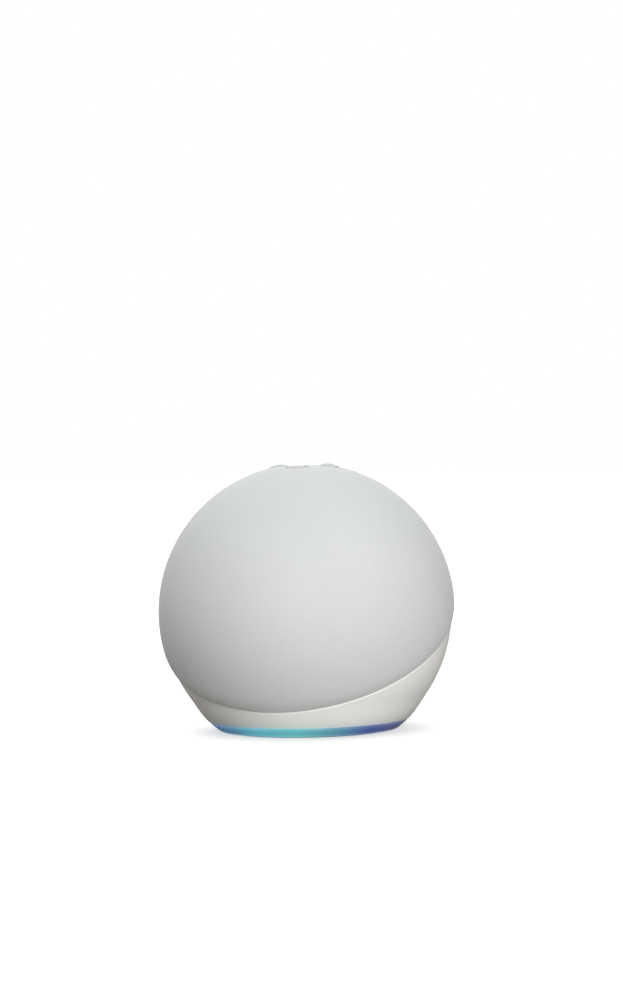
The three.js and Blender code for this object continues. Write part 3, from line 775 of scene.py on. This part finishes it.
# ---------- port bezel ----------
def bezel_piece():
    """A sleeve that lies flush in the shell, with softened edges."""
    soft = 0.25 * MM
    start = bezel_low.y
    outer = (PORT_HALF, PORT_CORNER)
    inner = (PORT_OPENING, OPENING_CORNER)

    def level(size, grow, depth):
        half, corner = size[0] + grow, size[1] + grow
        return lambda t: on_shell(inlet_point(t, half, corner, 0), depth)

    rings = [
        lambda t: inlet_point(t, *outer, start),
        level(outer, 0, 2 * soft),
        level(outer, -0.3 * soft, 1.3 * soft),
        level(outer, -soft, soft),
        level(inner, soft, soft),
        level(inner, 0.3 * soft, 1.3 * soft),
        level(inner, 0, 2 * soft),
        lambda t: inlet_point(t, *inner, start),
    ]
    obj = grid_solid("inlet_bezel", 160, rings)
    finish_piece(obj, "housing", "soft_black", MATERIALS["inner_plastic"], 35)
    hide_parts("port_bezel")


bezel_piece()


# ---------- CAD nodes that stay ----------
for name, obj in frame["nodes"].items():
    if not obj.material_slots:
        obj.data.materials.append(None)
    for entry in obj.material_slots:
        entry.material = MATERIALS[NODE_SLOTS[name]]


# ---------- studio ----------
FLOOR_WHITE, FLOOR_GLOW = (0.35, 0.35, 0.35), 0.86  # as the lens sees it, with its shadows lifted
FLOOR_SHADE, FLOOR_DIM = 16 * MM, 0.6  # how far off the object still shades it, and what is left there
FLOOR_BOUNCE = (0.22, 0.21, 0.185)  # as it lights the object, like a floor in half shade
SKY_COLOUR, SKY_STRENGTH = (0.97, 0.985, 1.0), 0.02


def floor():
    """A plain floor, shown near white to the lens and lighting the object like a darker one."""
    size = 40.0
    obj = piece_from("studio_floor", [(-size, -size, 0), (size, -size, 0), (size, size, 0), (-size, size, 0)],
                     [(0, 1, 2, 3)])
    paint = Paint("studio_floor", 0.9, color=FLOOR_WHITE, specular=0.0)
    ray = paint.add("ShaderNodeLightPath")
    mixed = paint.add("ShaderNodeMix", data_type="RGBA")
    paint.link(ray.outputs["Is Camera Ray"], mixed.inputs["Factor"])
    mixed.inputs[6].default_value = (*FLOOR_BOUNCE, 1)
    mixed.inputs[7].default_value = (*FLOOR_WHITE, 1)
    paint.set("Base Color", mixed.outputs[2])
    paint.set("Emission Color", (1, 1, 1, 1))
    shade = paint.add("ShaderNodeAmbientOcclusion")
    shade.inputs["Distance"].default_value = FLOOR_SHADE
    glow = paint.mapped(shade.outputs["AO"], FLOOR_DIM * FLOOR_GLOW, FLOOR_GLOW)
    paint.set("Emission Strength", paint.math("MULTIPLY", ray.outputs["Is Camera Ray"], glow))
    obj.data.materials.append(paint.mat)


def soft_sun(name, azimuth, elevation, width, strength, color=(1, 1, 1)):
    """A wide light from far off; azimuth in degrees from -Y towards +X, width its angle across."""
    light = bpy.data.lights.new(name, "SUN")
    light.angle = math.radians(width)
    light.energy = strength
    light.color = color
    obj = bpy.data.objects.new(name, light)
    bpy.context.scene.collection.objects.link(obj)
    turn, lift = math.radians(azimuth), math.radians(elevation)
    away = Vector((math.sin(turn) * math.cos(lift), -math.cos(turn) * math.cos(lift), math.sin(lift)))
    obj.rotation_euler = away.to_track_quat("Z", "Y").to_euler()


def studio_world():
    """White to look at, and a softer, slightly cool light from all round."""
    world = bpy.data.worlds.new("studio")
    bpy.context.scene.world = world
    world.use_nodes = True
    tree = world.node_tree
    shown = tree.nodes["Background"]
    shown.inputs["Color"].default_value = (1, 1, 1, 1)
    lit = tree.nodes.new("ShaderNodeBackground")
    lit.inputs["Color"].default_value = (*SKY_COLOUR, 1)
    lit.inputs["Strength"].default_value = SKY_STRENGTH
    ray = tree.nodes.new("ShaderNodeLightPath")
    choose = tree.nodes.new("ShaderNodeMixShader")
    tree.links.new(ray.outputs["Is Camera Ray"], choose.inputs["Fac"])
    tree.links.new(lit.outputs["Background"], choose.inputs[1])
    tree.links.new(shown.outputs["Background"], choose.inputs[2])
    tree.links.new(choose.outputs["Shader"], tree.nodes["World Output"].inputs["Surface"])


floor()
studio_world()
soft_sun("key", 29, 12, 30, 2.33, (1.0, 0.995, 0.985))
soft_sun("side", 45, 15, 40, 1.05, (1.0, 0.995, 0.985))
soft_sun("top", 0, 62, 60, 0.96)
soft_sun("back", -141, 24, 90, 3.84)
soft_sun("far_side", 150, 20, 60, 0.28)

# ---------- camera ----------
AZIMUTH, ELEVATION, DISTANCE = math.radians(17), math.radians(3.1), 0.9
ROLL = math.radians(-1.15)
FRAME_TALL = 337.84 * MM  # how much the frame takes in from top to bottom, at the ball's centre
SHIFT_ACROSS, SHIFT_UP = 0.0048, 0.1115  # shares of the frame's height, to place the ball in it
SENSOR = 24
back = Vector((math.sin(AZIMUTH) * math.cos(ELEVATION), -math.cos(AZIMUTH) * math.cos(ELEVATION),
               math.sin(ELEVATION)))
camera_data = bpy.data.cameras.new("camera")
camera = bpy.data.objects.new("camera", camera_data)
bpy.context.scene.collection.objects.link(camera)
camera.location = BALL_CENTRE + back * DISTANCE
level = back.to_track_quat("Z", "Y").to_matrix().to_4x4()
camera.matrix_world = Matrix.Translation(camera.location) @ level @ Matrix.Rotation(ROLL, 4, "Z")
camera_data.sensor_fit = "VERTICAL"
camera_data.sensor_height = SENSOR
camera_data.lens = SENSOR * DISTANCE / FRAME_TALL
camera_data.shift_x = SHIFT_ACROSS
camera_data.shift_y = SHIFT_UP
camera_data.clip_start = 0.01
bpy.context.scene.camera = camera
bpy.context.scene.view_settings.view_transform = "Standard"
